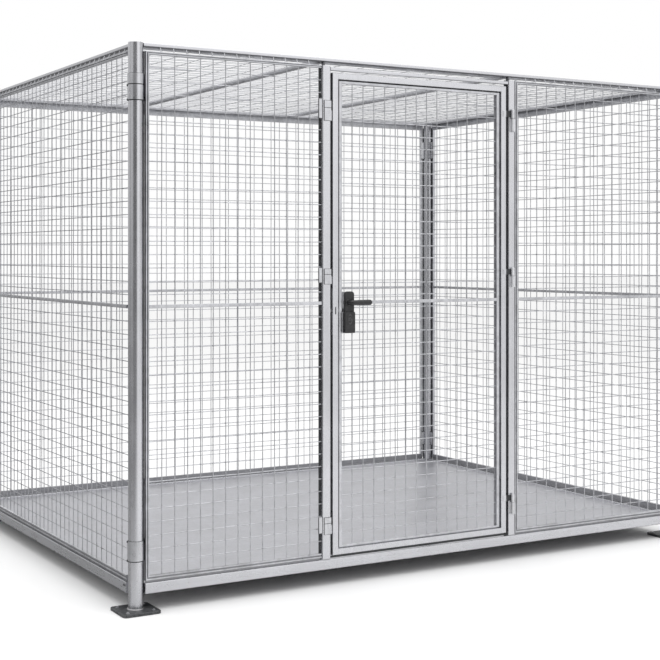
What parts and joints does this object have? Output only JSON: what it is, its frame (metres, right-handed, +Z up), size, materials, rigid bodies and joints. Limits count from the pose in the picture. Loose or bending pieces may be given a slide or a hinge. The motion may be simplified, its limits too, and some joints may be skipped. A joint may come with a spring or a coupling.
{
  "type": "wire mesh container",
  "caption": "Walk-in galvanised wire mesh cage on foot plates, with a sheet floor, a mesh roof and a hinged, lockable mesh door in its long side.",
  "frame": {"origin": "on the ground at the middle of the footprint", "axes": "+X along the front to the right, seen from outside the door; +Y from the front to the back; +Z up"},
  "size_m": [3.04, 2.31, 2.27],
  "materials": {
    "galvanised_steel": "zinc-plated tube and sheet, dull silver grey with faint streaks",
    "galvanised_mesh": "zinc-plated welded wire, light silver grey",
    "floor_sheet_steel": "smooth galvanised floor sheet, satin",
    "foot_plate_steel": "dark grey painted steel plate, satin",
    "black_lock": "black moulded cover and lever, fine matt grain",
    "lock_steel": "plain steel lock parts"
  },
  "bodies": {
    "cage": {"base_beam_back": "galvanised_steel", "base_beam_front": "galvanised_steel", "base_beam_left": "galvanised_steel", "base_beam_right": "galvanised_steel", "corner_post_back_left": "galvanised_steel", "corner_post_back_right": "galvanised_steel", "corner_post_front_left": "galvanised_steel", "corner_post_front_right": "galvanised_steel", "door_header": "galvanised_steel", "floor_bearer_left": "galvanised_steel", "floor_bearer_right": "galvanised_steel", "floor_sheet": "floor_sheet_steel", "foot_plate_back_left": "foot_plate_steel", "foot_plate_back_right": "foot_plate_steel", "foot_plate_front_left": "foot_plate_steel", "foot_plate_front_right": "foot_plate_steel", "hinge_mullion_lower": "galvanised_steel", "hinge_mullion_middle": "galvanised_steel", "hinge_mullion_upper": "galvanised_steel", "mullion_clamp_lower": "galvanised_steel", "mullion_clamp_middle": "galvanised_steel", "mullion_clamp_upper": "galvanised_steel", "mullion_left": "galvanised_steel", "mullion_right": "galvanised_steel", "post_cap_back_left": "galvanised_steel", "post_cap_back_right": "galvanised_steel", "post_cap_front_left": "galvanised_steel", "post_cap_front_right": "galvanised_steel", "post_clamp_back_left_lower": "galvanised_steel", "post_clamp_back_left_upper": "galvanised_steel", "post_clamp_back_right_lower": "galvanised_steel", "post_clamp_back_right_upper": "galvanised_steel", "post_clamp_front_left_lower": "galvanised_steel", "post_clamp_front_left_upper": "galvanised_steel", "post_clamp_front_right_lower": "galvanised_steel", "post_clamp_front_right_upper": "galvanised_steel", "roof_beam_left": "galvanised_steel", "roof_beam_right": "galvanised_steel", "roof_panel_left": "galvanised_mesh", "roof_panel_middle": "galvanised_mesh", "roof_panel_right": "galvanised_mesh", "top_rail_back": "galvanised_steel", "top_rail_front": "galvanised_steel", "top_rail_left": "galvanised_steel", "top_rail_right": "galvanised_steel", "wall_panel_back": "galvanised_mesh", "wall_panel_front_left": "galvanised_mesh", "wall_panel_front_right": "galvanised_mesh", "wall_panel_left": "galvanised_mesh", "wall_panel_right": "galvanised_mesh"},
    "door": {"door_frame": "galvanised_steel", "door_panel": "galvanised_mesh", "hinge_door_lower": "galvanised_steel", "hinge_door_middle": "galvanised_steel", "hinge_door_upper": "galvanised_steel", "lock_case": "galvanised_steel", "lock_cover": "black_lock"},
    "lever": {"lever_handle": "black_lock"},
    "latch": {"latch_bolt": "lock_steel"},
    "plug": {"lock_plug": "lock_steel"}
  },
  "joints": [
    {"name": "door_swing", "type": "hinge", "parent": "cage", "child": "door", "pos_m": [0.42, -1.1123, 1.15], "axis": [0, 0, 1], "range_deg": [0, 165]},
    {"name": "lever_turn", "type": "hinge", "parent": "door", "child": "lever", "pos_m": [-0.471, -1.135, 1.214], "axis": [0, 1, 0], "range_deg": [0, 45], "stiffness_Nm_per_rad": 1, "springref_deg": -17.19},
    {"name": "latch_slide", "type": "slide", "parent": "door", "child": "latch", "axis": [1, 0, 0], "range_m": [0, 0.009]},
    {"name": "plug_turn", "type": "hinge", "parent": "door", "child": "plug", "pos_m": [-0.468, -1.1185, 1.142], "axis": [0, 1, 0], "range_deg": [-90, 90]}
  ],
  "couplings": [
    {"joint": "latch_slide", "follows": "lever_turn", "m_per_rad": 0.011459}
  ]
}
